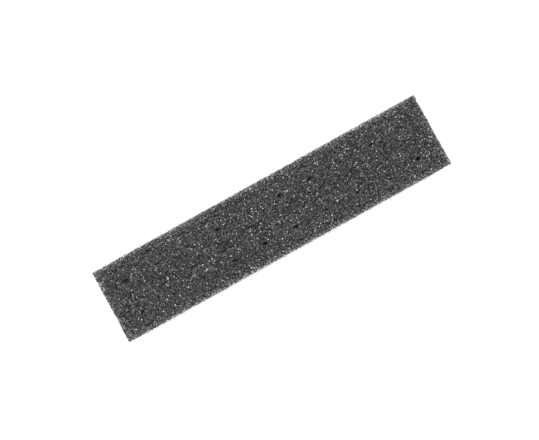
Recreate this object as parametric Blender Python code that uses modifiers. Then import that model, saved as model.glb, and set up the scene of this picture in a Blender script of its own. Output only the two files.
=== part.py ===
"""Board eraser with a foam wiping face, in the pieces that it comes apart into.

It lies on its back, foam up: a hollow moulded handle, a base plate screwed into it, two strips of
hook tape, and a foam pad with a loop backing that pulls off the hooks. Lengths are in metres, +Z is up,
and the origin is the middle of the flat back that the handle rests on.
"""

import math

import bmesh
import bpy
from mathutils import Matrix

MM = 0.001

# Foam face: two rows of ten low round studs, each with a pin hole at its centre
STUD_PITCH = 18.0 * MM
STUDS_LONG = 10
STUDS_WIDE = 2
STUD_END_MARGIN = 13.5 * MM
STUD_FRONT_MARGIN = 10.4 * MM
STUD_REAR_MARGIN = 11.6 * MM
STUD_DIAMETER = 13.2 * MM
STUD_HEIGHT = 0.8 * MM
STUD_FILLET = 0.6 * MM
PIN_HOLE_DIAMETER = 2.4 * MM
PIN_HOLE_DEPTH = 7.0 * MM
PAD_LENGTH = (STUDS_LONG - 1) * STUD_PITCH + 2 * STUD_END_MARGIN
PAD_WIDTH = (STUDS_WIDE - 1) * STUD_PITCH + STUD_FRONT_MARGIN + STUD_REAR_MARGIN
PAD_THICKNESS = 14.0 * MM
PAD_EDGE = 0.5 * MM

# Handle: a waisted grip between a flange at the pad and a crown at the palm
BACK_INSET = 1.0 * MM
HANDLE_LENGTH = PAD_LENGTH - 2 * BACK_INSET
HANDLE_WIDTH = PAD_WIDTH - 2 * BACK_INSET
HANDLE_HEIGHT = 20.0 * MM
FLANGE_THICKNESS = 2.6 * MM
FLANGE_CORNER = 4.0 * MM
CORNER_GROWTH = 0.5
WAIST_HEIGHT = 11.0 * MM
WAIST_INSET = 6.5 * MM
CROWN_HEIGHT = 4.5 * MM
CROWN_INSET = 1.6 * MM
CAVITY_FLOOR = 2.4 * MM
WAIST_WALL = 2.4 * MM
CAVITY_DRAFT = 0.4 * MM
CAVITY_CORNER = 3.0 * MM
RIB_THICKNESS = 1.6 * MM
RIB_TOP = 14.0 * MM
SPINE_TOP = 9.0 * MM
BOSS_DIAMETER = 7.0 * MM

# Base plate, its rim around the tape and its skirt inside the handle
PLATE_THICKNESS = 2.4 * MM
RIM_WIDTH = 1.4 * MM
RIM_HEIGHT = 1.8 * MM
SKIRT_DEPTH = 3.0 * MM
SKIRT_WALL = 1.6 * MM

# Screws along the middle of the plate
SCREW_COUNT = 4
SCREW_PITCH = 48.0 * MM
SCREW_SHANK_DIAMETER = 2.9 * MM
SCREW_HEAD_DIAMETER = 5.6 * MM
SCREW_HEAD_HEIGHT = 1.4 * MM
SCREW_LENGTH = 13.0 * MM
SCREW_TIP = 2.0 * MM
SCREW_SINK = 0.2 * MM
RECESS_SPAN = 3.0 * MM
RECESS_WIDTH = 0.7 * MM
RECESS_DEPTH = 0.9 * MM

# Hook tape and loop backing
TAPE_LENGTH = 172.0 * MM
TAPE_WIDTH = 13.0 * MM
TAPE_THICKNESS = 1.4 * MM
TAPE_CORNER = 2.0 * MM
TAPE_OFFSET = 10.2 * MM
LOOP_THICKNESS = 0.8 * MM
LOOP_CORNER = 0.5 * MM

# Gap kept where two pieces touch, and how far joined shapes run into each other
SEAT_GAP = 0.3 * MM
OVERLAP = 1.0 * MM
CORNER_STEPS = 8
PROFILE_STEPS = 8
TURN_STEPS = 24
SMALL_TURN_STEPS = 12
SMOOTH_ANGLE = math.radians(35)

# Heights, from the handle's back up to the wiping face
PLATE_LOW = HANDLE_HEIGHT + SEAT_GAP
PLATE_TOP = PLATE_LOW + PLATE_THICKNESS
RIM_TOP = PLATE_TOP + RIM_HEIGHT
TAPE_LOW = PLATE_TOP + SEAT_GAP
LOOP_LOW = max(TAPE_LOW + TAPE_THICKNESS, RIM_TOP) + SEAT_GAP
PAD_LOW = LOOP_LOW + LOOP_THICKNESS + SEAT_GAP
PAD_TOP = PAD_LOW + PAD_THICKNESS
FIELD_TOP = PAD_TOP - STUD_HEIGHT


def clear_scene():
    for obj in list(bpy.data.objects):
        bpy.data.objects.remove(obj, do_unlink=True)


def new_collection(name):
    collection = bpy.data.collections.new(name)
    bpy.context.scene.collection.children.link(collection)
    return collection


def new_material(name, colour, roughness, metallic=0.0):
    material = bpy.data.materials.new(name)
    material.use_nodes = True
    shader = material.node_tree.nodes["Principled BSDF"]
    shader.inputs["Base Color"].default_value = (*colour, 1.0)
    shader.inputs["Roughness"].default_value = roughness
    shader.inputs["Metallic"].default_value = metallic
    return material


def add_mesh(name, bm, collection, location=(0.0, 0.0, 0.0)):
    """Turns a finished bmesh into an object of that name."""
    mesh = bpy.data.meshes.new(name)
    bm.to_mesh(mesh)
    bm.free()
    obj = bpy.data.objects.new(name, mesh)
    obj.location = location
    collection.objects.link(obj)
    return obj


def box(name, size, centre, collection):
    bm = bmesh.new()
    bmesh.ops.create_cube(bm, size=1.0, matrix=Matrix.Diagonal((*size, 1.0)))
    return add_mesh(name, bm, collection, centre)


def cylinder(name, diameter, low, high, collection, steps=TURN_STEPS):
    """Upright cylinder on its object's axis, between two heights."""
    bm = bmesh.new()
    middle = Matrix.Translation((0.0, 0.0, (low + high) / 2))
    bmesh.ops.create_cone(
        bm, cap_ends=True, segments=steps, radius1=diameter / 2, radius2=diameter / 2,
        depth=high - low, matrix=middle,
    )
    return add_mesh(name, bm, collection)


def turned(name, profile, steps, collection):
    """Solid of revolution from (radius, height) points that run down its outer side."""
    bm = bmesh.new()
    verts = [bm.verts.new((radius, 0.0, height)) for radius, height in profile]
    for upper, lower in zip(verts, verts[1:]):
        bm.edges.new((upper, lower))
    obj = add_mesh(name, bm, collection)
    screw = obj.modifiers.new("Turn", "SCREW")
    screw.steps = screw.render_steps = steps
    screw.use_merge_vertices = True
    screw.merge_threshold = 0.00002
    return obj


def rounded_rectangle(length, width, radius):
    """Outline about the origin, counter-clockwise, with an arc at each corner."""
    points = []
    for corner, (side_x, side_y) in enumerate(((1, 1), (-1, 1), (-1, -1), (1, -1))):
        centre_x = side_x * (length / 2 - radius)
        centre_y = side_y * (width / 2 - radius)
        for step in range(CORNER_STEPS + 1):
            angle = math.pi / 2 * (corner + step / CORNER_STEPS)
            points.append((centre_x + radius * math.cos(angle), centre_y + radius * math.sin(angle)))
    return points


def loft(name, sections, collection):
    """Closed solid through (height, outline) sections, from the lowest to the highest."""
    bm = bmesh.new()
    rings = []
    for height, outline in sections:
        verts = [bm.verts.new((x, y, height)) for x, y in outline]
        rings.append([bm.edges.new(ends) for ends in zip(verts, verts[1:] + verts[:1])])
    for lower, upper in zip(rings, rings[1:]):
        bmesh.ops.bridge_loops(bm, edges=lower + upper)
    bmesh.ops.holes_fill(bm, edges=rings[0] + rings[-1])
    bmesh.ops.recalc_face_normals(bm, faces=bm.faces)
    return add_mesh(name, bm, collection)


def slab(name, outlines, low, high, collection):
    """Flat plate between two heights: a filled outline, with any further outlines as holes in it."""
    curve = bpy.data.curves.new(name, "CURVE")
    curve.dimensions = "2D"
    curve.fill_mode = "BOTH"
    curve.extrude = (high - low) / 2
    for outline in outlines:
        spline = curve.splines.new("POLY")
        spline.points.add(len(outline) - 1)
        for point, (x, y) in zip(spline.points, outline):
            point.co = (x, y, 0.0, 1.0)
        spline.use_cyclic_u = True
    drawn = bpy.data.objects.new(name + "_outline", curve)
    collection.objects.link(drawn)
    bpy.context.view_layer.update()
    evaluated = drawn.evaluated_get(bpy.context.evaluated_depsgraph_get())
    mesh = bpy.data.meshes.new_from_object(evaluated)
    bpy.data.objects.remove(drawn)
    bm = bmesh.new()
    bm.from_mesh(mesh)
    bpy.data.meshes.remove(mesh)
    bmesh.ops.remove_doubles(bm, verts=bm.verts, dist=0.00001)
    bmesh.ops.recalc_face_normals(bm, faces=bm.faces)
    return add_mesh(name, bm, collection, (0.0, 0.0, (low + high) / 2))


def repeat(obj, count, pitch, direction):
    """Row of copies centred on the object's own place."""
    row = obj.modifiers.new("Row", "ARRAY")
    row.count = count
    row.use_relative_offset = False
    row.use_constant_offset = True
    row.constant_offset_displace = [pitch * part for part in direction]
    for axis in range(3):
        obj.location[axis] -= direction[axis] * pitch * (count - 1) / 2


def combine(obj, tool, operation):
    """Adds a shaping tool to a piece, or takes it away, and hides the tool."""
    change = obj.modifiers.new(operation.title() + " " + tool.name, "BOOLEAN")
    change.operation = operation
    change.object = tool
    change.solver = "EXACT"
    tool.hide_render = True
    tool.display_type = "WIRE"


def finish_piece(obj, material, parent, smooth=True):
    """Gives a piece its material and shading, and hangs it on the empty that carries it."""
    obj.data.materials.append(material)
    if smooth:
        obj.data.shade_smooth()
        obj.data.set_sharp_from_angle(angle=SMOOTH_ANGLE)
    obj.parent = parent
    obj.matrix_parent_inverse = parent.matrix_world.inverted()


def fillet(centre_radius, centre_height, radius, steps):
    """Quarter round of a turned profile, from its top round to its outer side."""
    points = []
    for step in range(steps + 1):
        angle = math.pi / 2 * (1 - step / steps)
        points.append((centre_radius + radius * math.cos(angle), centre_height + radius * math.sin(angle)))
    return points


def ease(start, end, steps):
    """Points from one (height, inset) to another, level with the side at both ends, without the first."""
    points = []
    for step in range(1, steps + 1):
        share = step / steps
        blend = (1 - math.cos(math.pi * share)) / 2
        points.append((start[0] + (end[0] - start[0]) * share, start[1] + (end[1] - start[1]) * blend))
    return points


def handle_profile():
    """(height, inset) up the side of the handle, from its flat back to the top of its flange."""
    crown_round = CROWN_HEIGHT
    points = []
    for step in range(PROFILE_STEPS + 1):
        angle = math.pi / 2 * step / PROFILE_STEPS
        height = crown_round * (1 - math.cos(angle))
        points.append((height, CROWN_INSET + crown_round * (1 - math.sin(angle))))
    waist = (WAIST_HEIGHT, WAIST_INSET)
    flange = (HANDLE_HEIGHT - FLANGE_THICKNESS, 0.0)
    points += ease((CROWN_HEIGHT, CROWN_INSET), waist, PROFILE_STEPS)
    points += ease(waist, flange, PROFILE_STEPS)
    points.append((HANDLE_HEIGHT, 0.0))
    return points


def handle_outline(inset):
    """Outline of the handle where its side stands that far inside the flange."""
    corner = FLANGE_CORNER + CORNER_GROWTH * inset
    return rounded_rectangle(HANDLE_LENGTH - 2 * inset, HANDLE_WIDTH - 2 * inset, corner)


def cavity_outline(inset):
    """Outline of the handle's hollow, or of something that stands that far inside its mouth."""
    wall = 2 * (WAIST_INSET + WAIST_WALL + inset)
    return rounded_rectangle(HANDLE_LENGTH - wall, HANDLE_WIDTH - wall, CAVITY_CORNER - inset)


def make_handle_shell(pieces, tools):
    shell = loft("handle_shell", [(height, handle_outline(inset)) for height, inset in handle_profile()], pieces)
    cavity = [(CAVITY_FLOOR, cavity_outline(CAVITY_DRAFT)), (HANDLE_HEIGHT + OVERLAP, cavity_outline(0.0))]
    combine(shell, loft("cavity_core", cavity, tools), "DIFFERENCE")

    rib_low = CAVITY_FLOOR - OVERLAP
    rib_width = HANDLE_WIDTH - 2 * (WAIST_INSET + WAIST_WALL) + OVERLAP
    cross_rib = box(
        "cross_ribs", (RIB_THICKNESS, rib_width, RIB_TOP - rib_low), (0.0, 0.0, (RIB_TOP + rib_low) / 2), tools
    )
    repeat(cross_rib, SCREW_COUNT, SCREW_PITCH, (1, 0, 0))
    combine(shell, cross_rib, "UNION")

    spine_length = HANDLE_LENGTH - 2 * (WAIST_INSET + WAIST_WALL) + OVERLAP
    spine = box(
        "spine_rib", (spine_length, RIB_THICKNESS, SPINE_TOP - rib_low), (0.0, 0.0, (SPINE_TOP + rib_low) / 2), tools
    )
    combine(shell, spine, "UNION")

    boss = cylinder("screw_bosses", BOSS_DIAMETER, rib_low, HANDLE_HEIGHT, tools)
    repeat(boss, SCREW_COUNT, SCREW_PITCH, (1, 0, 0))
    combine(shell, boss, "UNION")

    pilot_low = PLATE_TOP - SCREW_LENGTH - OVERLAP
    pilot = cylinder(
        "pilot_drill", SCREW_SHANK_DIAMETER + 2 * SEAT_GAP, pilot_low, HANDLE_HEIGHT + OVERLAP, tools, SMALL_TURN_STEPS
    )
    repeat(pilot, SCREW_COUNT, SCREW_PITCH, (1, 0, 0))
    combine(shell, pilot, "DIFFERENCE")
    return shell


def make_base_plate(pieces, tools):
    plate = slab("base_plate", [handle_outline(0.0)], PLATE_LOW, RIM_TOP, pieces)
    tray = slab("rim_recess", [handle_outline(RIM_WIDTH)], PLATE_TOP, RIM_TOP + OVERLAP, tools)
    combine(plate, tray, "DIFFERENCE")

    skirt_outlines = [cavity_outline(SEAT_GAP + CAVITY_DRAFT), cavity_outline(SEAT_GAP + CAVITY_DRAFT + SKIRT_WALL)]
    skirt = slab("skirt", skirt_outlines, PLATE_LOW - SKIRT_DEPTH, PLATE_LOW + OVERLAP, tools)
    combine(plate, skirt, "UNION")

    bore = SCREW_SHANK_DIAMETER / 2 + SEAT_GAP
    mouth = SCREW_HEAD_DIAMETER / 2 + SEAT_GAP
    head_low = PLATE_TOP - SCREW_SINK - SCREW_HEAD_HEIGHT
    countersink = turned(
        "countersink",
        [
            (0.0, RIM_TOP),
            (mouth, RIM_TOP),
            (mouth, PLATE_TOP - SCREW_SINK),
            (bore, head_low),
            (bore, PLATE_LOW - OVERLAP),
            (0.0, PLATE_LOW - OVERLAP),
        ],
        SMALL_TURN_STEPS,
        tools,
    )
    repeat(countersink, SCREW_COUNT, SCREW_PITCH, (1, 0, 0))
    combine(plate, countersink, "DIFFERENCE")
    return plate


def make_screw(number, pieces, tools):
    """Countersunk screw with a cross recess, its axis upright on the middle of the plate."""
    head_top = PLATE_TOP - SCREW_SINK
    tip = PLATE_TOP - SCREW_LENGTH
    shank = SCREW_SHANK_DIAMETER / 2
    screw = turned(
        f"base_screw_{number}",
        [
            (0.0, head_top),
            (SCREW_HEAD_DIAMETER / 2, head_top),
            (shank, head_top - SCREW_HEAD_HEIGHT),
            (shank, tip + SCREW_TIP),
            (0.0, tip),
        ],
        SMALL_TURN_STEPS,
        pieces,
    )
    screw.location.x = SCREW_PITCH * (number - (SCREW_COUNT + 1) / 2)
    for arm, size in enumerate(((RECESS_SPAN, RECESS_WIDTH), (RECESS_WIDTH, RECESS_SPAN))):
        driver = box(
            f"driver_{number}_{arm}", (*size, 2 * RECESS_DEPTH), (screw.location.x, 0.0, head_top), tools
        )
        combine(screw, driver, "DIFFERENCE")
    return screw


def make_hook_strip(name, side, pieces):
    strip = slab(
        name, [rounded_rectangle(TAPE_LENGTH, TAPE_WIDTH, TAPE_CORNER)], TAPE_LOW, TAPE_LOW + TAPE_THICKNESS, pieces
    )
    strip.location.y = side * TAPE_OFFSET
    return strip


def make_loop_backing(pieces):
    outline = rounded_rectangle(PAD_LENGTH, PAD_WIDTH, LOOP_CORNER)
    return slab("loop_backing", [outline], LOOP_LOW, LOOP_LOW + LOOP_THICKNESS, pieces)


def make_wiping_pad(pieces, tools):
    block_height = FIELD_TOP - PAD_LOW
    pad = box("wiping_pad", (PAD_LENGTH, PAD_WIDTH, block_height), (0.0, 0.0, PAD_LOW + block_height / 2), pieces)
    edge = pad.modifiers.new("Cut edge", "BEVEL")
    edge.width = PAD_EDGE
    edge.segments = 2

    radius = STUD_DIAMETER / 2
    stud = turned(
        "stud_former",
        [
            (0.0, PAD_TOP),
            *fillet(radius - STUD_FILLET, PAD_TOP - STUD_FILLET, STUD_FILLET, 2),
            (radius, FIELD_TOP - OVERLAP),
            (0.0, FIELD_TOP - OVERLAP),
        ],
        TURN_STEPS,
        tools,
    )
    pin = cylinder(
        "pin_drill", PIN_HOLE_DIAMETER, PAD_TOP - PIN_HOLE_DEPTH, PAD_TOP + OVERLAP, tools, SMALL_TURN_STEPS
    )
    for tool in (stud, pin):
        repeat(tool, STUDS_LONG, STUD_PITCH, (1, 0, 0))
        repeat(tool, STUDS_WIDE, STUD_PITCH, (0, 1, 0))
        tool.location.y += (STUD_FRONT_MARGIN - STUD_REAR_MARGIN) / 2
    combine(pad, stud, "UNION")
    combine(pad, pin, "DIFFERENCE")
    return pad


def new_empty(name, height, collection):
    empty = bpy.data.objects.new(name, None)
    empty.location.z = height
    collection.objects.link(empty)
    return empty


def main():
    clear_scene()
    pieces = new_collection("board_eraser")
    tools = new_collection("shaping_tools")
    grip = new_empty("grip", 0.0, pieces)
    refill = new_empty("refill", LOOP_LOW, pieces)
    bpy.context.view_layer.update()

    foam = new_material("charcoal foam", (0.075, 0.075, 0.077), 0.9)
    loop = new_material("loop knit", (0.03, 0.03, 0.032), 0.95)
    hook = new_material("hook nylon", (0.02, 0.02, 0.021), 0.5)
    plastic = new_material("black ABS", (0.022, 0.022, 0.024), 0.45)
    zinc = new_material("zinc-plated steel", (0.62, 0.63, 0.64), 0.35, 1.0)

    finish_piece(make_handle_shell(pieces, tools), plastic, grip)
    finish_piece(make_base_plate(pieces, tools), plastic, grip)
    for number in range(1, SCREW_COUNT + 1):
        finish_piece(make_screw(number, pieces, tools), zinc, grip)
    finish_piece(make_hook_strip("hook_strip_front", -1, pieces), hook, grip)
    finish_piece(make_hook_strip("hook_strip_rear", 1, pieces), hook, grip)
    finish_piece(make_loop_backing(pieces), loop, refill)
    finish_piece(make_wiping_pad(pieces, tools), foam, refill)


main()
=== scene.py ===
# Board eraser with a charcoal foam face, lying on its back: surfaces, finishes, light and camera
import math

import bpy
import bmesh
import numpy as np
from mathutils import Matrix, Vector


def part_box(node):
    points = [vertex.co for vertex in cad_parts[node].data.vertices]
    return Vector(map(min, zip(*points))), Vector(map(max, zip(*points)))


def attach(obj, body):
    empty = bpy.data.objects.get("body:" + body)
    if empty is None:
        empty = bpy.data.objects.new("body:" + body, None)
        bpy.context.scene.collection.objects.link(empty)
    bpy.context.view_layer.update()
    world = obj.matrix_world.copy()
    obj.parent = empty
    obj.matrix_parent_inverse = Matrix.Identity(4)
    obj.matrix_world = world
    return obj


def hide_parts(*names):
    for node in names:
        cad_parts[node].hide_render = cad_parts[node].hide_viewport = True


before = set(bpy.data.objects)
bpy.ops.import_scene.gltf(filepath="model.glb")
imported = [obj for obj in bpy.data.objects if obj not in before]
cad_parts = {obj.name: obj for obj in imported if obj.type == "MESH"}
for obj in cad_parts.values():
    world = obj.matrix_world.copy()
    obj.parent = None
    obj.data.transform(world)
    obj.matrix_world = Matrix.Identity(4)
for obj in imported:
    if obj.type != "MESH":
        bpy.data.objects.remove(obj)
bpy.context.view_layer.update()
mm = 0.001
keyStep = 0.01 * mm  # points further apart than this draw random numbers of their own
print("frame loaded:", ", ".join(sorted(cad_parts)))


# sRGB hex text to the linear colour that a shader socket takes
def linear(hexText):
    parts = [int(hexText[i : i + 2], 16) / 255 for i in (1, 3, 5)]
    return tuple(p / 12.92 if p <= 0.04045 else ((p + 0.055) / 1.055) ** 2.4 for p in parts) + (1.0,)


# adds one node: values go on its sockets, links come from other nodes' outputs, settings are its own
def addNode(tree, kind, values=None, links=None, **settings):
    node = tree.nodes.new("ShaderNode" + kind)
    for name, value in settings.items():
        setattr(node, name, value)
    for socket, value in (values or {}).items():
        node.inputs[socket].default_value = value
    for socket, output in (links or {}).items():
        tree.links.new(output, node.inputs[socket])
    return node


# material with a Principled shader, whose constant values stand on its own sockets
def newFinish(name, values):
    material = bpy.data.materials.new(name)
    material.use_nodes = True
    tree = material.node_tree
    tree.nodes.clear()
    shader = addNode(tree, "BsdfPrincipled", values)
    addNode(tree, "OutputMaterial", links={"Surface": shader.outputs[0]})
    return material, tree, shader


# colour stops of a ramp, as (place, hex)
def setStops(ramp, stops):
    elements = ramp.color_ramp.elements
    while len(elements) < len(stops):
        elements.new(1.0)
    for element, (place, colour) in zip(elements, stops):
        element.position = place
        element.color = linear(colour)


# mesh object from arrays of points, quads and any further faces, with named values kept on its points
def makePiece(name, points, quads, others=(), attributes=None):
    mesh = bpy.data.meshes.new(name)
    faces = [*np.asarray(quads).reshape(-1, 4).tolist(), *[list(face) for face in others]]
    mesh.from_pydata(np.asarray(points).tolist(), [], faces)
    for key, values in (attributes or {}).items():
        layer = mesh.attributes.new(key, "FLOAT", "POINT")
        layer.data.foreach_set("value", np.asarray(values, dtype=np.float32))
    mesh.update()
    piece = bpy.data.objects.new(name, mesh)
    bpy.context.scene.collection.objects.link(piece)
    return piece


# quads of a grid of rows and columns; wrapped columns close a loop
def gridQuads(rows, columns, wrap=False):
    across = columns if wrap else columns - 1
    r, c = np.meshgrid(np.arange(rows - 1), np.arange(across), indexing="ij")
    here = r * columns + c
    right = r * columns + (c + 1) % columns
    return np.stack([here, right, right + columns, here + columns], -1).reshape(-1, 4)


# numbers of a grid's border points, once round anticlockwise
def gridBorder(rows, columns):
    return np.concatenate([
        np.arange(columns),
        np.arange(1, rows) * columns + columns - 1,
        (rows - 1) * columns + np.arange(columns - 2, -1, -1),
        np.arange(rows - 2, 0, -1) * columns,
    ])


# smooth S from 0 at low to 1 at high
def smoothStep(low, high, value):
    share = np.clip((value - low) / (high - low), 0.0, 1.0)
    return share * share * (3 - 2 * share)


# repeatable random numbers from 0 to 1 for whole-number lattice places: the far decimals of a sine
def lattice(i, j, k, salt):
    mixed = np.sin(i * 127.1 + j * 311.7 + k * 74.7 + salt * 53.3) * 43758.5453
    return mixed - np.floor(mixed)


# foam cells: distance to the nearest and second nearest of the points scattered one to a lattice box,
# with a random number that belongs to the nearest one
def foamCells(points, size, salt):
    scaled = points / size
    home = np.floor(scaled)
    near = np.full(len(points), 9.0)  # further than any cell can be
    second = np.full(len(points), 9.0)
    tag = np.zeros(len(points))
    for neighbour in np.ndindex(3, 3, 3):
        box = home + neighbour - 1
        middle = box + np.stack([lattice(*box.T, salt + axis) for axis in range(3)], 1)
        gap = np.linalg.norm(scaled - middle, axis=1)
        closer = gap < near
        second = np.where(closer, near, np.minimum(second, gap))
        tag = np.where(closer, lattice(*box.T, salt + 4), tag)
        near = np.where(closer, gap, near)
    return near, second, tag


# smooth random field from -1 to 1 with the given wavelength: lattice values blended by smooth steps
def softNoise(points, size, salt):
    scaled = points / size
    home = np.floor(scaled)
    blend = smoothStep(0.0, 1.0, scaled - home)
    total = np.zeros(len(points))
    for corner in np.ndindex(2, 2, 2):
        weight = np.prod(np.abs(1 - np.array(corner) - blend), axis=1)
        total += weight * lattice(*(home + corner).T, salt)
    return 2 * total - 1


# camera: straight above the foam face, turned so that the long axis rises to the right
shot = {
    "lens": 85.0,
    "imageWidth": 539,
    "riseDegrees": 29.02,
    "pixelMm": 0.514,  # 189 mm of foam across 367.7 pixels
    "centreRightPx": 2.12,  # middle of the foam from the middle of the picture
    "centreUpPx": 1.51,
}


# stands as high over the face as makes the picture pixelMm times its pixels wide there, and a little aside
def makeCamera():
    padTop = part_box("wiping_pad")[1].z
    data = bpy.data.cameras.new("camera")
    data.lens = shot["lens"]
    width = shot["imageWidth"] * shot["pixelMm"] * mm
    rise = math.radians(shot["riseDegrees"])
    right = np.array([math.cos(rise), -math.sin(rise)])
    up = np.array([math.sin(rise), math.cos(rise)])
    aside = -(right * shot["centreRightPx"] + up * shot["centreUpPx"]) * shot["pixelMm"] * mm
    camera = bpy.data.objects.new("camera", data)
    camera.location = (aside[0], aside[1], padTop + width * shot["lens"] / data.sensor_width)
    camera.rotation_euler = (0.0, 0.0, -rise)
    bpy.context.scene.collection.objects.link(camera)
    bpy.context.scene.camera = camera


makeCamera()
print("camera placed")

# open-cell foam, cut from the block with a hot wire: pores torn open, thin bright cell walls between them
foam = {
    "stepMm": 0.35,  # grid over the face, and down the sides
    "sideStepMm": 0.65,
    "edgeMm": 0.45,  # rounding of the cut edges
    "leanMm": 0.15,  # the sides run in a little towards the back
    "slantMm": 0.33,  # the left end is cut a little out of square
    "cellMm": 1.05,
    "poreMm": 0.33,  # depth of an open cell
    "poreRange": (0.25, 1.1),  # the shallowest share of it, and how much deeper the cells come
    "wallRange": (0.05, 0.55),  # where a cell's wall stops, and where its pore starts
    "fuzzMm": 0.16,  # roughness from point to point
    "jitterMm": 0.12,  # fine unevenness, and its wavelength
    "jitterWaveMm": 0.5,
    "wanderMm": 0.12,  # wander of the cut, and its wavelength
    "wanderWaveMm": 7.0,
    "tearMm": 0.42,  # torn crumbs along the edges, how far in they reach, and their size
    "tearReachMm": 1.2,
    "crumbMm": 0.8,
    "crumbWall": 0.6,  # how much deeper a crumb is torn at its middle than at its rim
    "fringeMm": 0.45,  # single points that stand out at the very edge, and the least that any does
    "fringeLeast": 0.2,
    "strutsPerMm": 9,  # torn cell struts that stand out from the edges
    "strutMm": (0.4, 1.1),  # shortest, and how much longer they come
    "strutWidthMm": 0.18,
    "strutRootMm": 0.3,  # how far they are rooted in the foam
    "strutDropMm": (0.1, 0.9),  # how far below the face they start
    "strutLean": 0.6,
    "studPitchMm": 18.0,
    "studRows": (-9.6, 8.4),  # across the width
    "studColumns": 10,
    "studHeightMm": 0.8,
    "studTopMm": 5.6,  # radius where a stud starts to round off, and where it meets the face
    "studFootMm": 6.9,
    "grooveMm": 0.16,  # pressed round the foot: depth, radius and width
    "grooveRadiusMm": 7.0,
    "grooveWidthMm": 0.45,
    "groovePress": (0.3, 1.4),  # the faintest share of its depth, and how much deeper some are
    "holeMm": 1.44,  # radius of the dent round each pin hole, and how much longer it is than wide
    "holeOval": 1.15,
    "holeDepthMm": (0.5, 0.8),  # dent of one that is pinched shut, and of one that is torn open
    "holeFloor": (0.5, 0.72),  # share of the radius that is flat, in the same order
    "openHoles": ((3, 4, 5, 9), (0, 3, 5, 6)),  # columns that are torn open, in each row
    "pinMm": (0.42, 6.0),  # radius and depth of the pin hole in the dent
    "pinFloor": 0.4,
    "rimMm": 0.9,  # painted highlight on the cut edges reaches this far in
    "marginMm": 6.5,  # paler and warmer this far in from the edges
    "sideMm": (0.5, 2.0),  # where the sides start, below the face
    "sideGlint": 0.3,  # how bright the painted glints are on them
    "seed": 11,
}


# the pad's skin: a grid over the face, its border carried down the sides in rings, and one face for the back
def padSkin(low, high, field):
    columns = round((high.x - low.x) / (foam["stepMm"] * mm)) + 1
    rows = round((high.y - low.y) / (foam["stepMm"] * mm)) + 1
    levels = round((field - low.z) / (foam["sideStepMm"] * mm))
    x, y = np.meshgrid(np.linspace(low.x, high.x, columns), np.linspace(low.y, high.y, rows))
    face = np.stack([x, y, np.full_like(x, field)], -1).reshape(-1, 3)
    border = gridBorder(rows, columns)
    skirt = np.repeat(face[border][None], levels, 0)
    skirt[:, :, 2] = field + (low.z - field) * np.linspace(0, 1, levels + 1)[1:, None]
    rings = np.concatenate([border, rows * columns + np.arange(levels * len(border))])
    rings = rings.reshape(levels + 1, len(border))
    after = np.roll(rings, -1, 1)
    sides = np.stack([rings[:-1], rings[1:], after[1:], after[:-1]], -1).reshape(-1, 4)
    points = np.concatenate([face, skirt.reshape(-1, 3)])
    return points, np.concatenate([gridQuads(rows, columns), sides]), rings[-1][::-1]


# how far each point is dug in, in mm: open cells between standing walls, fuzz, the wander of the cut and torn edges
def foamDepth(skin, base, outward, edgeGap):
    seed = foam["seed"]
    pointKey = np.round(skin.T / keyStep)
    near, second, tag = foamCells(base, foam["cellMm"] * mm, seed)
    wall = 1 - smoothStep(*foam["wallRange"], second - near)
    shallow, deeper = foam["poreRange"]
    depth = foam["poreMm"] * (1 - wall) * (shallow + deeper * tag**2)
    depth += foam["fuzzMm"] * (lattice(*pointKey, seed) - 0.5)
    depth += foam["wanderMm"] * softNoise(base, foam["wanderWaveMm"] * mm, seed + 7)
    crumb, crumbNext, crumbTag = foamCells(base, foam["crumbMm"] * mm, seed + 30)
    torn = crumbTag + foam["crumbWall"] * (crumbNext - crumb - 1)
    depth += foam["tearMm"] * np.exp(-edgeGap / foam["tearReachMm"]) * torn
    depth -= depth.mean()
    stray = foam["fringeLeast"] + lattice(*pointKey, seed + 40)
    sideways = np.hypot(outward[:, 0], outward[:, 1])
    return depth - foam["fringeMm"] * stray * np.exp(-edgeGap) * sideways


# height over the face in mm: flat studs that round off to the face, a groove round each foot (a bell curve
# across the radius), and at each middle a dent with a pin hole
def studsAndHoles(x, y):
    lift = np.zeros(len(x))
    hole = np.zeros(len(x))
    faint, stronger = foam["groovePress"]
    pinRadius, pinDepth = foam["pinMm"]
    for column, row in np.ndindex(foam["studColumns"], len(foam["studRows"])):
        along = x - (column - (foam["studColumns"] - 1) / 2) * foam["studPitchMm"]
        across = y - foam["studRows"][row]
        place = np.hypot(along, across)
        lift += foam["studHeightMm"] * (1 - smoothStep(foam["studTopMm"], foam["studFootMm"], place))
        press = faint + stronger * lattice(column, row, 8, foam["seed"])
        fromGroove = (place - foam["grooveRadiusMm"]) / foam["grooveWidthMm"]
        lift -= press * foam["grooveMm"] * np.exp(-(fromGroove**2))
        torn = column in foam["openHoles"][row]
        oval = np.hypot(along / foam["holeOval"], across) / foam["holeMm"]
        dent = foam["holeDepthMm"][torn] * (1 - smoothStep(foam["holeFloor"][torn], 1.0, oval))
        pin = pinDepth * (1 - smoothStep(foam["pinFloor"], 1.0, place / pinRadius))
        hole = np.maximum(hole, np.maximum(dent, pin))
    return lift - hole


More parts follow.
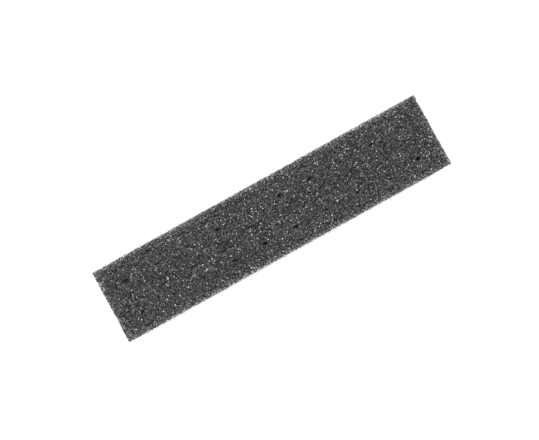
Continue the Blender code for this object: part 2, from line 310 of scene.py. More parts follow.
# thin three-sided spikes round the top edge, rooted inside it and leaning out at random: points and faces
def edgeStruts(low, high, field):
    random = np.random.default_rng(foam["seed"])
    length, width = high.x - low.x, high.y - low.y
    count = round(2 * (length + width) / mm * foam["strutsPerMm"])
    along = random.uniform(0, 2 * (length + width), count)
    onEnd = along > 2 * length
    side = np.where(random.random(count) < 0.5, -1.0, 1.0)
    x = np.where(onEnd, side * high.x, low.x + along % length)
    y = np.where(onEnd, low.y + (along - 2 * length) % width, side * high.y)
    root = np.stack([x, y, field - random.uniform(*foam["strutDropMm"], count) * mm], 1)
    lean = random.uniform(-foam["strutLean"], foam["strutLean"], (count, 3))
    lean[onEnd, 0] = side[onEnd]
    lean[~onEnd, 1] = side[~onEnd]
    lean /= np.linalg.norm(lean, axis=1, keepdims=True)
    shortest, longer = foam["strutMm"]
    reach = (shortest + longer * random.random(count) ** 2) * mm
    across = np.cross(lean, random.normal(size=(count, 3)))
    across /= np.linalg.norm(across, axis=1, keepdims=True)
    third = np.cross(lean, across)
    start = root - foam["strutRootMm"] * mm * lean
    half = foam["strutWidthMm"] / 2 * mm
    turns = np.arange(3) * 2 * math.pi / 3
    ring = [start + half * (math.cos(turn) * across + math.sin(turn) * third) for turn in turns]
    points = np.stack([*ring, root + reach[:, None] * lean], 1)
    faces = np.array([(0, 1, 3), (1, 2, 3), (2, 0, 3), (2, 1, 0)])
    return points.reshape(-1, 3), (faces[None] + 4 * np.arange(count)[:, None, None]).reshape(-1, 3)


# rounded block: each point of the skin is pushed out of an inner block by the edge radius, dug in along that
# direction by the foam's depth, and raised on the face by the studs
def makeFoamPad():
    low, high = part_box("wiping_pad")
    field = high.z - foam["studHeightMm"] * mm
    skin, quads, back = padSkin(low, high, field)
    radius = foam["edgeMm"] * mm
    innerLow = (low.x + radius, low.y + radius, low.z)
    innerHigh = (high.x - radius, high.y - radius, field - radius)
    inner = np.clip(skin, innerLow, innerHigh)
    outward = skin - inner
    outward /= np.maximum(np.linalg.norm(outward, axis=1, keepdims=True), 1e-9)
    base = inner + radius * outward
    bottom = skin[:, 2] < low.z + 1e-6

    # distance from the nearest cut edge in mm, along the face or down the side
    edgeGap = np.minimum(high.x - np.abs(skin[:, 0]), high.y - np.abs(skin[:, 1])) / mm
    edgeGap = np.maximum(edgeGap, (field - skin[:, 2]) / mm)
    depth = foamDepth(skin, base, outward, edgeGap) * mm
    depth[bottom] = 0.0
    fine = [softNoise(skin, foam["jitterWaveMm"] * mm, foam["seed"] + salt) for salt in (20, 21, 22)]
    jitter = np.stack(fine, 1) * foam["jitterMm"] * mm
    points = base - outward * depth[:, None] + jitter * (~bottom)[:, None]
    onFace = smoothStep(field - 2 * radius, field - radius, base[:, 2])
    points[:, 2] += onFace * studsAndHoles(base[:, 0] / mm, base[:, 1] / mm) * mm

    # lean of the sides and slant of the left end
    below = np.clip((field - base[:, 2]) / (field - low.z), 0, 1)
    sideOut = np.sign(outward[:, :2]) * (np.abs(outward[:, :2]) > 0.5)
    points[:, :2] -= sideOut * (foam["leanMm"] * mm * below)[:, None]
    leftward = np.clip(-points[:, 0] / high.x, 0, 1)
    points[:, 0] += foam["slantMm"] * mm * leftward * points[:, 1] / high.y
    points[bottom, 2] = low.z

    strutPoints, strutFaces = edgeStruts(low, high, field)
    strutFaces += len(points)
    points = np.concatenate([points, strutPoints])
    side = smoothStep(*foam["sideMm"], (field - skin[:, 2]) / mm)
    shades = {
        "pit": (np.clip(depth / (foam["poreMm"] * mm), 0, 1), 0.0),
        # painted highlight along the cut edges
        "rim": (np.exp(-edgeGap / foam["rimMm"]), 1.0),
        "margin": (np.exp(-edgeGap / foam["marginMm"]) * (1 - side), 1.0),
        "glint": (1 - (1 - foam["sideGlint"]) * side, 1.0),
    }
    for name, (values, onStruts) in shades.items():
        shades[name] = np.concatenate([values, np.full(len(strutPoints), onStruts)])
    pad = makePiece("foam_pad", points, quads, [back, *strutFaces], shades)
    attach(pad, "refill")
    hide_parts("wiping_pad")
    return pad


# polyurethane foam, dyed through: matte, with painted shade in the open cells and painted highlights on their torn
# walls, painted shade in deep pores and where the surface is dug in, and a few painted white glints
foamLook = {
    "cellMm": 0.75,
    # painted shade in the middle of a cell, painted highlight at its walls
    "cellShadeStops": [(0.1, "#0c0c0c"), (0.3, "#2c2c2c"), (0.5, "#454545"), (0.8, "#6b6b6b")],
    "grainMm": 0.42,  # crumb of the cut face
    "grainRange": (0.3, 1.75),
    # fine crumbs that carry painted glints and painted pore shade; the glint colour and share follow
    "glintAndPoreMm": 0.45,
    "paintedGlint": "#ffffff",
    "paintedGlintShare": 0.023,
    # painted shade: black in deep pores, and darker where the surface is dug in
    "poreShade": "#060606",
    "poreShadeShare": 0.09,
    "pitShade": 0.2,
    "bumpMm": 0.25,
    "bumpDepthMm": 0.15,
    "bumpStrength": 0.6,
    "roughness": 0.92,
    "gloss": 0.2,
    "edgeHighlightTint": (3.3, 3.3, 3.3, 1),  # painted highlight on the cut edges
    "marginTint": (1.23, 1.16, 1.195, 1),
}


def foamFinish():
    values = {"Roughness": foamLook["roughness"], "Specular IOR Level": foamLook["gloss"]}
    material, tree, shader = newFinish("charcoal polyurethane foam", values)
    place = addNode(tree, "TexCoord").outputs["Object"]
    # painted shade: each open cell dark in its middle, with a painted highlight on its walls
    cell = addNode(tree, "TexVoronoi", {"Scale": 1 / (foamLook["cellMm"] * mm)}, {"Vector": place})
    tone = addNode(tree, "ValToRGB", links={"Fac": cell.outputs["Distance"]})
    setStops(tone, foamLook["cellShadeStops"])

    # each crumb a little darker or paler
    grain = addNode(tree, "TexVoronoi", {"Scale": 1 / (foamLook["grainMm"] * mm)}, {"Vector": place})
    chance = addNode(tree, "SeparateColor", links={"Color": grain.outputs["Color"]})
    least, most = foamLook["grainRange"]
    level = addNode(tree, "MapRange", {"To Min": least, "To Max": most}, {"Value": chance.outputs["Red"]})
    links = {0: tone.outputs["Color"], "Scale": level.outputs[0]}
    grainy = addNode(tree, "VectorMath", links=links, operation="SCALE")

    # a share of the finest crumbs is painted black as the shade in deep pores, and a smaller one white as painted
    # glints
    crumb = addNode(tree, "TexVoronoi", {"Scale": 1 / (foamLook["glintAndPoreMm"] * mm)}, {"Vector": place})
    chance = addNode(tree, "SeparateColor", links={"Color": crumb.outputs["Color"]})
    share = foamLook["paintedGlintShare"]
    values = {"From Min": 1 - share, "From Max": 1 - share / 3}
    # painted glints: the few crumbs that are painted white
    lit = addNode(tree, "MapRange", values, {"Value": chance.outputs["Green"]})
    share = foamLook["poreShadeShare"]
    values = {"From Min": share, "From Max": share / 2}
    hollow = addNode(tree, "MapRange", values, {"Value": chance.outputs["Red"]})
    # painted shade: darker where the surface is dug in, and black in the pores
    pit = addNode(tree, "Attribute", attribute_name="pit")
    sunk = addNode(tree, "Math", {1: foamLook["pitShade"]}, {0: pit.outputs["Fac"]}, operation="MULTIPLY")
    paintedShade = addNode(tree, "Math", links={0: hollow.outputs[0], 1: sunk.outputs[0]}, operation="MAXIMUM")
    links = {"Factor": paintedShade.outputs[0], "A": grainy.outputs[0]}
    tinted = addNode(tree, "Mix", {"B": linear(foamLook["poreShade"])}, links, data_type="RGBA")
    # painted highlight along the cut edges, then paler and warmer towards the edges
    for name, tint in (("rim", foamLook["edgeHighlightTint"]), ("margin", foamLook["marginTint"])):
        edge = addNode(tree, "Attribute", attribute_name=name)
        links = {"Factor": edge.outputs["Fac"], "A": tinted.outputs["Result"]}
        tinted = addNode(tree, "Mix", {"B": tint}, links, data_type="RGBA", blend_type="MULTIPLY")
    # painted glints, dimmer on the sides
    glint = addNode(tree, "Attribute", attribute_name="glint")
    bright = addNode(tree, "Math", links={0: lit.outputs[0], 1: glint.outputs["Fac"]}, operation="MULTIPLY")
    links = {"Factor": bright.outputs[0], "A": tinted.outputs["Result"]}
    withPaintedGlints = addNode(tree, "Mix", {"B": linear(foamLook["paintedGlint"])}, links, data_type="RGBA")
    tree.links.new(withPaintedGlints.outputs["Result"], shader.inputs["Base Color"])

    values = {"Scale": 1 / (foamLook["bumpMm"] * mm), "Detail": 2.0}
    rough = addNode(tree, "TexNoise", values, {"Vector": place})
    values = {"Strength": foamLook["bumpStrength"], "Distance": foamLook["bumpDepthMm"] * mm}
    bump = addNode(tree, "Bump", values, {"Height": rough.outputs["Fac"]})
    tree.links.new(bump.outputs["Normal"], shader.inputs["Normal"])
    return material


foamPad = makeFoamPad()
foamPad.data.materials.append(foamFinish())
print("foam pad:", len(foamPad.data.polygons), "faces")

# black ABS, moulded in a fine spark-eroded texture: soft broad highlights
plasticLook = {
    "stops": [(0.3, "#1b1c1d"), (0.75, "#242526")],
    "patchMm": 9.0,
    "roughRange": (0.42, 0.58),
    "rubbed": "#3a3b3c",  # palm and flange edges, where hands have polished the texture
    "polish": -0.14,
    "scuffMm": 2.2,
    "scuffRange": (0.4, 0.65),
    "grainMm": 0.35,  # coarser than the real texture, so that it shows
    "grainDepthMm": 0.03,
    "grainStrength": 0.25,
    "ior": 1.53,
    "gloss": 0.35,
}


def plasticFinish():
    values = {"IOR": plasticLook["ior"], "Specular IOR Level": plasticLook["gloss"]}
    material, tree, shader = newFinish("moulded black ABS", values)
    place = addNode(tree, "TexCoord").outputs["Object"]
    values = {"Scale": 1 / (plasticLook["patchMm"] * mm), "Detail": 3.0}
    patch = addNode(tree, "TexNoise", values, {"Vector": place})
    colour = addNode(tree, "ValToRGB", links={"Fac": patch.outputs["Fac"]})
    setStops(colour, plasticLook["stops"])

    # rubbed edges show through in scuffs, and are smoother
    rub = addNode(tree, "Attribute", attribute_name="rub")
    values = {"Scale": 1 / (plasticLook["scuffMm"] * mm), "Detail": 4.0}
    scuff = addNode(tree, "TexNoise", values, {"Vector": place})
    least, most = plasticLook["scuffRange"]
    broken = addNode(tree, "MapRange", {"From Min": least, "From Max": most}, {"Value": scuff.outputs["Fac"]})
    bare = addNode(tree, "Math", links={0: rub.outputs["Fac"], 1: broken.outputs[0]}, operation="MULTIPLY")
    links = {"Factor": bare.outputs[0], "A": colour.outputs["Color"]}
    tone = addNode(tree, "Mix", {"B": linear(plasticLook["rubbed"])}, links, data_type="RGBA")
    tree.links.new(tone.outputs["Result"], shader.inputs["Base Color"])
    least, most = plasticLook["roughRange"]
    rough = addNode(tree, "MapRange", {"To Min": least, "To Max": most}, {"Value": patch.outputs["Fac"]})
    links = {0: rub.outputs["Fac"], 2: rough.outputs[0]}
    polished = addNode(tree, "Math", {1: plasticLook["polish"]}, links, operation="MULTIPLY_ADD")
    tree.links.new(polished.outputs[0], shader.inputs["Roughness"])

    grain = addNode(tree, "TexVoronoi", {"Scale": 1 / (plasticLook["grainMm"] * mm)}, {"Vector": place})
    values = {"Strength": plasticLook["grainStrength"], "Distance": plasticLook["grainDepthMm"] * mm}
    bump = addNode(tree, "Bump", values, {"Height": grain.outputs["Distance"]})
    tree.links.new(bump.outputs["Normal"], shader.inputs["Normal"])
    return material


# zinc-plated steel, tumbled: grey metal with faint mottling
zincLook = {"stops": [(0.3, "#7c7e82"), (0.8, "#9c9ea2")], "patchMm": 0.8, "roughRange": (0.3, 0.5)}


def zincFinish():
    material, tree, shader = newFinish("zinc-plated steel", {"Metallic": 1.0})
    place = addNode(tree, "TexCoord").outputs["Object"]
    values = {"Scale": 1 / (zincLook["patchMm"] * mm), "Detail": 4.0}
    patch = addNode(tree, "TexNoise", values, {"Vector": place})
    colour = addNode(tree, "ValToRGB", links={"Fac": patch.outputs["Fac"]})
    setStops(colour, zincLook["stops"])
    tree.links.new(colour.outputs["Color"], shader.inputs["Base Color"])
    least, most = zincLook["roughRange"]
    rough = addNode(tree, "MapRange", {"To Min": least, "To Max": most}, {"Value": patch.outputs["Fac"]})
    tree.links.new(rough.outputs[0], shader.inputs["Roughness"])
    return material


# woven nylon tape: dull black with a slight gloss on the hooks
nylonLook = {
    "stops": [(0.25, "#18191a"), (0.8, "#2c2d2e")],
    "weaveMm": 0.7,
    "roughness": 0.62,
    "ior": 1.53,
    "gloss": 0.3,
}


def nylonFinish():
    values = {"Roughness": nylonLook["roughness"], "IOR": nylonLook["ior"], "Specular IOR Level": nylonLook["gloss"]}
    material, tree, shader = newFinish("black nylon hook tape", values)
    place = addNode(tree, "TexCoord").outputs["Object"]
    values = {"Scale": 1 / (nylonLook["weaveMm"] * mm), "Detail": 3.0}
    weave = addNode(tree, "TexNoise", values, {"Vector": place})
    colour = addNode(tree, "ValToRGB", links={"Fac": weave.outputs["Fac"]})
    setStops(colour, nylonLook["stops"])
    tree.links.new(colour.outputs["Color"], shader.inputs["Base Color"])
    return material


# brushed loop knit: matte black pile of fine loops
knitLook = {
    "stops": [(0.1, "#3a3b3c"), (0.75, "#161617")],
    "loopMm": 0.45,
    "loopDepthMm": 0.2,
    "loopStrength": 0.7,
    "roughness": 0.95,
    "sheen": 0.3,
}


def knitFinish():
    values = {"Roughness": knitLook["roughness"], "Sheen Weight": knitLook["sheen"]}
    material, tree, shader = newFinish("black loop knit", values)
    place = addNode(tree, "TexCoord").outputs["Object"]
    loops = addNode(tree, "TexVoronoi", {"Scale": 1 / (knitLook["loopMm"] * mm)}, {"Vector": place})
    colour = addNode(tree, "ValToRGB", links={"Fac": loops.outputs["Distance"]})
    setStops(colour, knitLook["stops"])
    tree.links.new(colour.outputs["Color"], shader.inputs["Base Color"])
    values = {"Strength": knitLook["loopStrength"], "Distance": knitLook["loopDepthMm"] * mm}
    bump = addNode(tree, "Bump", values, {"Height": loops.outputs["Distance"]}, invert=True)
    tree.links.new(bump.outputs["Normal"], shader.inputs["Normal"])
    return material


plastic, zinc, nylon, knit = plasticFinish(), zincFinish(), nylonFinish(), knitFinish()
print("finishes mixed")

# handle: a hollow moulded grip with a waist for the fingers
handle = {
    "lengthMm": 187.0,
    "widthMm": 38.0,
    "heightMm": 20.0,
    "crown": (4.5, 1.6),  # height of the palm edge and how far it stands inside the flange
    "waist": (11.0, 6.5),
    "flangeMm": 2.6,
    "flangeEdgeMm": 0.5,
    "lipMm": (0.8, 2.0, 0.28),  # tongue that meets the plate: its two sides, from the flange's side, and its height
    "mouthMm": 8.9,  # edge of the hollow, from the side of the flange
    "mouthEdgeMm": 0.2,
    "draftMm": 0.4,  # the hollow narrows this much down to its floor
    "floorMm": 2.4,
    "cornerMm": 4.0,
    "cornerGrowth": 0.5,
    "hollowCornerMm": 3.0,
    "screwPitchMm": 48.0,
    "screws": 4,
    "bossMm": (7.0, 3.5),  # outer and pilot diameters
    "pilotLowMm": 8.7,
    "ribMm": 1.6,
    "ribRootMm": 0.5,  # how far the ribs run into the walls
    "crossRibTopMm": 14.0,
    "spineTopMm": 9.0,
    "rubMm": (1.5, 0.4),  # how far the palm edge and the flange edge are rubbed
    "palmShare": 0.6,  # height of the rub on the palm edge, as a share of the crown's
    "steps": 20,
    "cornerSteps": 14,
    "straightSteps": 24,
    "bossSteps": 24,
    "sharpDegrees": 50,
}


# rounded rectangle walked anticlockwise: four quarter circles, with points along the straights between them
def roundedLoop(length, width, corner):
    turns = np.linspace(0, math.pi / 2, handle["cornerSteps"] + 1)
    arcs = []
    for quarter, (sideX, sideY) in enumerate(((1, 1), (-1, 1), (-1, -1), (1, -1))):
        angle = turns + quarter * math.pi / 2
        arcs.append(np.stack([
            sideX * (length / 2 - corner) + corner * np.cos(angle),
            sideY * (width / 2 - corner) + corner * np.sin(angle),
        ], 1))
    share = np.linspace(0, 1, handle["straightSteps"] + 2)[1:-1, None]
    loop = []
    for arc, following in zip(arcs, arcs[1:] + arcs[:1]):
        loop += [arc, arc[-1] + (following[0] - arc[-1]) * share]
    return np.concatenate(loop)


# screw bosses (circles stacked up the outside and down the pilot hole) and the box ribs that brace them
def handleBracing():
    steps = handle["bossSteps"]
    turn = np.linspace(0, 2 * math.pi, steps, endpoint=False)
    circle = np.stack([np.cos(turn), np.sin(turn), np.zeros(steps)], 1)
    outer, pilot = np.array(handle["bossMm"]) / 2
    root, top = handle["floorMm"] / 2, handle["heightMm"]
    levels = ((outer, root), (outer, top), (pilot, top), (pilot, handle["pilotLowMm"]))
    boss = np.concatenate([radius * circle + (0, 0, height) for radius, height in levels])
    lastRing = (len(levels) - 1) * steps
    bossQuads = gridQuads(len(levels), steps, wrap=True).tolist()
    bossFaces = [*bossQuads, range(steps)[::-1], range(lastRing, lastRing + steps)]

    intoWall = handle["ribRootMm"] - handle["mouthMm"]
    halfLength = handle["lengthMm"] / 2 + intoWall
    halfWidth = handle["widthMm"] / 2 + intoWall
    half = handle["ribMm"] / 2
    unit = np.array([(x, y, z) for z in (0, 1) for x, y in ((-1, -1), (1, -1), (1, 1), (-1, 1))], float)
    unitFaces = [(3, 2, 1, 0), (4, 5, 6, 7), (0, 1, 5, 4), (1, 2, 6, 5), (2, 3, 7, 6), (3, 0, 4, 7)]
    spine = unit * (halfLength, half, handle["spineTopMm"] - root) + (0, 0, root)
    cross = unit * (half, halfWidth, handle["crossRibTopMm"] - root) + (0, 0, root)

    points, faces = [spine], [*unitFaces]
    count = len(spine)
    for along in (np.arange(handle["screws"]) - (handle["screws"] - 1) / 2) * handle["screwPitchMm"]:
        for shape, shapeFaces in ((boss, bossFaces), (cross, unitFaces)):
            points.append(shape + (along, 0, 0))
            faces += [[count + corner for corner in face] for face in shapeFaces]
            count += len(shape)
    return np.concatenate(points), faces


# one profile of heights and insets, carried round rounded rectangles: a quarter round at the back, half cosine
# waves in to the waist and out to the flange, over the tongue, and down into the hollow
def makeHandle():
    share = np.linspace(0, 1, handle["steps"] + 1)
    ease = (1 - np.cos(math.pi * share)) / 2
    crownZ, crownIn = handle["crown"]
    waistZ, waistIn = handle["waist"]
    height, edge = handle["heightMm"], handle["flangeEdgeMm"]
    flangeZ = height - handle["flangeMm"]
    lipOut, lipIn, lip = handle["lipMm"]
    mouth, mouthEdge = handle["mouthMm"], handle["mouthEdgeMm"]
    quarter = share * math.pi / 2
    back = np.stack([crownZ * (1 - np.cos(quarter)), crownIn + crownZ * (1 - np.sin(quarter))], 1)
    rise = np.stack([crownZ + (waistZ - crownZ) * share, crownIn + (waistIn - crownIn) * ease], 1)[1:]
    flare = np.stack([waistZ + (flangeZ - waistZ) * share, waistIn * (1 - ease)], 1)[1:]
    top = np.array([
        (height - edge, 0.0),
        (height - edge * 0.3, edge * 0.3),  # middle of the quarter round
        (height, edge),
        (height, lipOut),
        (height + lip, lipOut),
        (height + lip, lipIn),
        (height, lipIn),
        (height, mouth - mouthEdge),
        (height - mouthEdge, mouth),
        (handle["floorMm"], mouth + handle["draftMm"]),
    ])
    profile = np.concatenate([back, rise, flare, top])
    inHollow = profile[:, 1] > mouth - 1
    rings = []
    for (z, inset), hollow in zip(profile, inHollow):
        corner = handle["hollowCornerMm"] if hollow else handle["cornerMm"] + handle["cornerGrowth"] * inset
        loop = roundedLoop(handle["lengthMm"] - 2 * inset, handle["widthMm"] - 2 * inset, corner)
        rings.append(np.column_stack([loop, np.full(len(loop), z)]))
    around = len(rings[0])
    last = (len(rings) - 1) * around
    bracing, bracingFaces = handleBracing()
    inside = [[last + around + corner for corner in face] for face in bracingFaces]
    caps = [range(around)[::-1], range(last, last + around)]

    # hands rub the rounded palm edge and the edge of the flange
    palmMm, rimMm = handle["rubMm"]
    palm = np.exp(-(((profile[:, 0] - handle["palmShare"] * crownZ) / palmMm) ** 2))
    rim = np.exp(-(((profile[:, 0] - height + edge / 2) / rimMm) ** 2))
    rub = np.where(profile[:, 1] < lipOut, np.maximum(palm, rim), palm * ~inHollow)
    rub = np.concatenate([np.repeat(rub, around), np.zeros(len(bracing))])

    points = np.concatenate([*rings, bracing]) * mm
    quads = gridQuads(len(rings), around, wrap=True)
    piece = makePiece("moulded_handle", points, quads, caps + inside, {"rub": rub})
    piece.data.materials.append(plastic)
    piece.data.shade_smooth()
    piece.data.set_sharp_from_angle(angle=math.radians(handle["sharpDegrees"]))
    piece.modifiers.new("level normals", "WEIGHTED_NORMAL").keep_sharp = True
    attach(piece, "grip")
    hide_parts("handle_shell")


makeHandle()
print("handle swept")

# plate and screws: copies of the solids with their edges eased
eased = {"plateEdgeMm": 0.25, "screwEdgeMm": 0.06, "sharpDegrees": 40, "flatDegrees": 1, "mergeMm": 0.01}


# flat faces merged, sharp edges rounded off, normals kept level on the flats
def easedCopy(node, name, edge, material):
    copy = bmesh.new()
    copy.from_mesh(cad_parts[node].data)
    bmesh.ops.remove_doubles(copy, verts=copy.verts, dist=eased["mergeMm"] * mm)
    flat = math.radians(eased["flatDegrees"])
    bmesh.ops.dissolve_limit(copy, angle_limit=flat, verts=copy.verts, edges=copy.edges)
    sharp = math.radians(eased["sharpDegrees"])
    edges = [e for e in copy.edges if e.is_manifold and e.calc_face_angle() > sharp]
    rounding = {"offset": edge * mm, "offset_type": "OFFSET", "segments": 2, "profile": 0.5}
    bmesh.ops.bevel(copy, geom=edges, affect="EDGES", clamp_overlap=True, **rounding)
    mesh = bpy.data.meshes.new(name)
    copy.to_mesh(mesh)
    copy.free()
    mesh.materials.clear()
    mesh.materials.append(material)
    mesh.shade_smooth()
    piece = bpy.data.objects.new(name, mesh)
    bpy.context.scene.collection.objects.link(piece)
    piece.modifiers.new("level normals", "WEIGHTED_NORMAL")
    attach(piece, "grip")
    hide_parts(node)


easedCopy("base_plate", "tray_plate", eased["plateEdgeMm"], plastic)
for number in (1, 2, 3, 4):
    easedCopy(f"base_screw_{number}", f"plate_screw_{number}", eased["screwEdgeMm"], zinc)
print("plate and screws copied")

# hook tape: a thin woven band with rows of bent hooks
hooks = {
    "pitchMm": 1.9,  # coarser than real tape, so that single hooks show
    "marginMm": 1.1,
    "bandMm": 0.35,
    "bandEdgeMm": 0.05,
    "bandCornerMm": 2.0,
    "wireMm": 0.11,
    "taper": (1.15, 0.75),  # thicker at the foot, thinner at the tip
    "bendMm": 0.35,
    "bendTurns": 1.15,  # half turns
    "sinkMm": 0.02,
    "strayMm": 0.15,  # how far a hook stands from its place, and how far it turns aside, in radians
    "strayTurn": 0.3,
    "sides": 5,
    "rings": 8,
    "sharpDegrees": 50,
    "seed": 3,
}


# band: a rounded rectangle raised to its thickness with a small eased edge; one hook: a tube along a line that
# rises straight and turns over in a half round, set down in rows that face opposite ways
def makeHookStrip(node, name):
    low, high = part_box(node)
    band, bandEdge = hooks["bandMm"] * mm, hooks["bandEdgeMm"]
    wire, bend = hooks["wireMm"] * mm, hooks["bendMm"] * mm
    length, width = (high.x - low.x) / mm, (high.y - low.y) / mm
    middle = np.array([(low.x + high.x) / 2, (low.y + high.y) / 2])
    rings = []
    for inset, z in ((0.0, low.z), (0.0, low.z + band - bandEdge * mm), (bandEdge, low.z + band)):
        loop = roundedLoop(length - 2 * inset, width - 2 * inset, hooks["bandCornerMm"]) * mm + middle
        rings.append(np.column_stack([loop, np.full(len(loop), z)]))
    around = len(rings[0])
    first = len(rings) * around
    caps = [range(around)[::-1], range(first - around, first)]

    stem = high.z - low.z - band - bend - wire
    turn = np.linspace(0, hooks["bendTurns"] * math.pi, hooks["rings"] - 1)
    over = np.stack([bend * (1 - np.cos(turn)), stem + bend * np.sin(turn)], 1)
    line = np.concatenate([[[0.0, 0.0]], over])
    tangent = np.gradient(line, axis=0)
    tangent /= np.linalg.norm(tangent, axis=1, keepdims=True)
    normal = np.stack([-tangent[:, 1], tangent[:, 0]], 1)
    angle = np.linspace(0, 2 * math.pi, hooks["sides"], endpoint=False)
    thin = np.linspace(*hooks["taper"], len(line))[:, None] * wire
    along = line[:, None, 0] + thin * np.cos(angle) * normal[:, None, 0]
    height = line[:, None, 1] + thin * np.cos(angle) * normal[:, None, 1]
    one = np.stack([along, thin * np.sin(angle), height], -1).reshape(-1, 3)

    margin, pitch = hooks["marginMm"] * mm, hooks["pitchMm"] * mm
    countX = int((high.x - low.x - 2 * margin) / pitch)
    countY = int((high.y - low.y - 2 * margin) / pitch)
    rowX = np.linspace(low.x + margin, high.x - margin, countX)
    rowY = np.linspace(low.y + margin, high.y - margin, countY)
    x, y = np.meshgrid(rowX, rowY)
    random = np.random.default_rng(hooks["seed"])
    stray, strayTurn = hooks["strayMm"], hooks["strayTurn"]
    spots = np.stack([x.ravel(), y.ravel()], 1) + random.uniform(-stray, stray, (x.size, 2)) * mm
    facing = np.where(np.arange(countY)[:, None] % 2 == 0, 0.0, math.pi)
    heading = (facing + random.uniform(-strayTurn, strayTurn, x.shape)).reshape(-1, 1)
    c, s = np.cos(heading), np.sin(heading)
    foot = low.z + band - hooks["sinkMm"] * mm
    field = np.stack([
        spots[:, :1] + c * one[:, 0] - s * one[:, 1],
        spots[:, 1:] + s * one[:, 0] + c * one[:, 1],
        np.broadcast_to(foot + one[:, 2], (len(spots), len(one))),
    ], -1)

    tube = gridQuads(len(line), hooks["sides"], wrap=True)
    starts = first + np.arange(len(spots)) * len(one)
    quads = [gridQuads(len(rings), around, wrap=True), (tube[None] + starts[:, None, None]).reshape(-1, 4)]
    tips = (starts[:, None] + (len(line) - 1) * hooks["sides"] + np.arange(hooks["sides"])).tolist()
    roots = (starts[:, None] + np.arange(hooks["sides"])[::-1]).tolist()
    points = np.concatenate([*rings, field.reshape(-1, 3)])
    piece = makePiece(name, points, np.concatenate(quads), caps + tips + roots)
    piece.data.materials.append(nylon)
    piece.data.shade_smooth()
    piece.data.set_sharp_from_angle(angle=math.radians(hooks["sharpDegrees"]))
    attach(piece, "grip")
    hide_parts(node)


makeHookStrip("hook_strip_front", "hook_tape_front")
makeHookStrip("hook_strip_rear", "hook_tape_rear")
print("hook tape made")

# loop backing: a knit sheet bonded under the foam, its loops standing down towards the hooks
backing = {
    "stepMm": 0.8,
    "loopMm": 0.22,
    "reachMm": 0.28,  # pile pressed up against the foam, and down on to the rim of the plate
    "seed": 5,
}


# two flat grids joined round their borders, the lower one raised at each point by a random share of a loop
def makeLoopBacking():
    low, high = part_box("loop_backing")
    columns = round((high.x - low.x) / (backing["stepMm"] * mm)) + 1
    rows = round((high.y - low.y) / (backing["stepMm"] * mm)) + 1
    x, y = np.meshgrid(np.linspace(low.x, high.x, columns), np.linspace(low.y, high.y, rows))
    reach = backing["reachMm"] * mm
    upper = np.stack([x, y, np.full_like(x, high.z + reach)], -1).reshape(-1, 3)
    lower = np.stack([x, y, np.full_like(x, low.z - reach)], -1).reshape(-1, 3)
    loops = lattice(*np.round(lower.T / keyStep), backing["seed"])
    lower[:, 2] += backing["loopMm"] * mm * loops
    count = rows * columns
    top = gridQuads(rows, columns)
    border = gridBorder(rows, columns)
    after = np.roll(border, -1)
    sides = np.stack([border, border + count, after + count, after], -1)
    quads = np.concatenate([top, top[:, ::-1] + count, sides])
    piece = makePiece("knit_backing", np.concatenate([upper, lower]), quads)
    piece.data.materials.append(knit)
    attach(piece, "refill")
    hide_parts("loop_backing")


makeLoopBacking()
print("loop backing made")

# white studio: two long soft lights beside the long edges, pale ground that still takes a shadow
studio = {
    "worldLight": 0.2,
    "sideWatts": 3.35,
    "sideSize": (0.5, 0.22),
    "sideDistance": 0.5,
    "sideHeight": 0.21,
    "rearShare": 1.3,  # the light on the rear side is a little stronger
    "groundHalf": 3.0,
    "groundDropMm": 0.2,
    "groundGrey": (0.8, 0.8, 0.8, 1),
    "glowRange": (0.56, 1.0),  # white ground: less glow beside the eraser, so that its shadow stays
    "glowReach": (0.25, 0.7),
}
white = (1, 1, 1, 1)


# 1 for what the camera sees, straight, in a gloss or through glass, and 0 for light that falls on the object
def seenShare(tree):
    path = addNode(tree, "LightPath")
    links = {0: path.outputs["Is Camera Ray"], 1: path.outputs["Is Glossy Ray"]}
    seen = addNode(tree, "Math", links=links, operation="MAXIMUM")
    links = {0: seen.outputs[0], 1: path.outputs["Is Transmission Ray"]}
    return addNode(tree, "Math", links=links, operation="MAXIMUM").outputs[0]


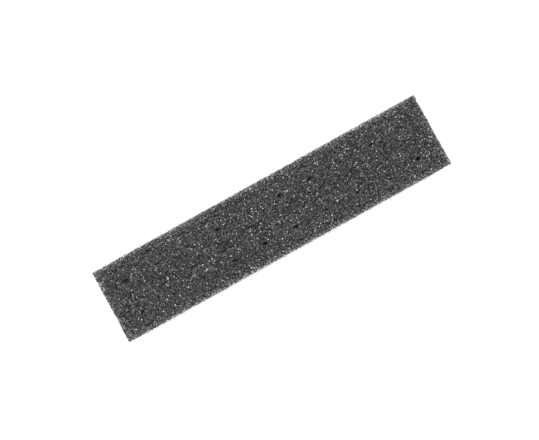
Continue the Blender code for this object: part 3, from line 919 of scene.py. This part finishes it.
# world: white where it is seen, dim where it lights
def makeWorld():
    world = bpy.data.worlds.new("studio")
    bpy.context.scene.world = world
    world.use_nodes = True
    tree = world.node_tree
    tree.nodes.clear()
    ambient = addNode(tree, "Background", {"Color": white, "Strength": studio["worldLight"]})
    bright = addNode(tree, "Background", {"Color": white, "Strength": 1.0})
    links = {0: seenShare(tree), 1: ambient.outputs[0], 2: bright.outputs[0]}
    mixed = addNode(tree, "MixShader", links=links)
    addNode(tree, "OutputWorld", links={"Surface": mixed.outputs[0]})


# ground: one wide square of matt paper, with a glow where it is seen that grows with the distance from the middle
def makeGround():
    half, drop = studio["groundHalf"], studio["groundDropMm"] * mm
    corners = [(x * half, y * half, -drop) for x, y in ((-1, -1), (1, -1), (1, 1), (-1, 1))]
    ground = makePiece("ground", corners, [(0, 1, 2, 3)])
    paper = bpy.data.materials.new("white paper ground")
    paper.use_nodes = True
    tree = paper.node_tree
    tree.nodes.clear()
    place = addNode(tree, "TexCoord").outputs["Object"]
    away = addNode(tree, "VectorMath", links={0: place}, operation="LENGTH")
    (nearGlow, farGlow), (start, end) = studio["glowRange"], studio["glowReach"]
    values = {"From Min": start, "From Max": end, "To Min": nearGlow, "To Max": farGlow}
    fade = addNode(tree, "MapRange", values, {"Value": away.outputs["Value"]})
    glow = addNode(tree, "Math", links={0: seenShare(tree), 1: fade.outputs[0]}, operation="MULTIPLY")
    light = addNode(tree, "Emission", {"Color": white}, {"Strength": glow.outputs[0]})
    matte = addNode(tree, "BsdfDiffuse", {"Color": studio["groundGrey"]})
    both = addNode(tree, "AddShader", links={0: light.outputs[0], 1: matte.outputs[0]})
    addNode(tree, "OutputMaterial", links={"Surface": both.outputs[0]})
    ground.data.materials.append(paper)


# lights: one beside each long edge, tilted to face the middle
def makeLights():
    tilt = math.atan2(studio["sideDistance"], studio["sideHeight"])
    for name, side, share in (("rear_light", 1, studio["rearShare"]), ("front_light", -1, 1.0)):
        data = bpy.data.lights.new(name, "AREA")
        data.shape = "RECTANGLE"
        data.size, data.size_y = studio["sideSize"]
        data.energy = studio["sideWatts"] * share
        lamp = bpy.data.objects.new(name, data)
        lamp.location = (0, side * studio["sideDistance"], studio["sideHeight"])
        lamp.rotation_euler = (-side * tilt, 0, 0)
        bpy.context.scene.collection.objects.link(lamp)


makeWorld()
makeGround()
makeLights()
bpy.context.scene.view_settings.view_transform = "Standard"
print("studio lit")
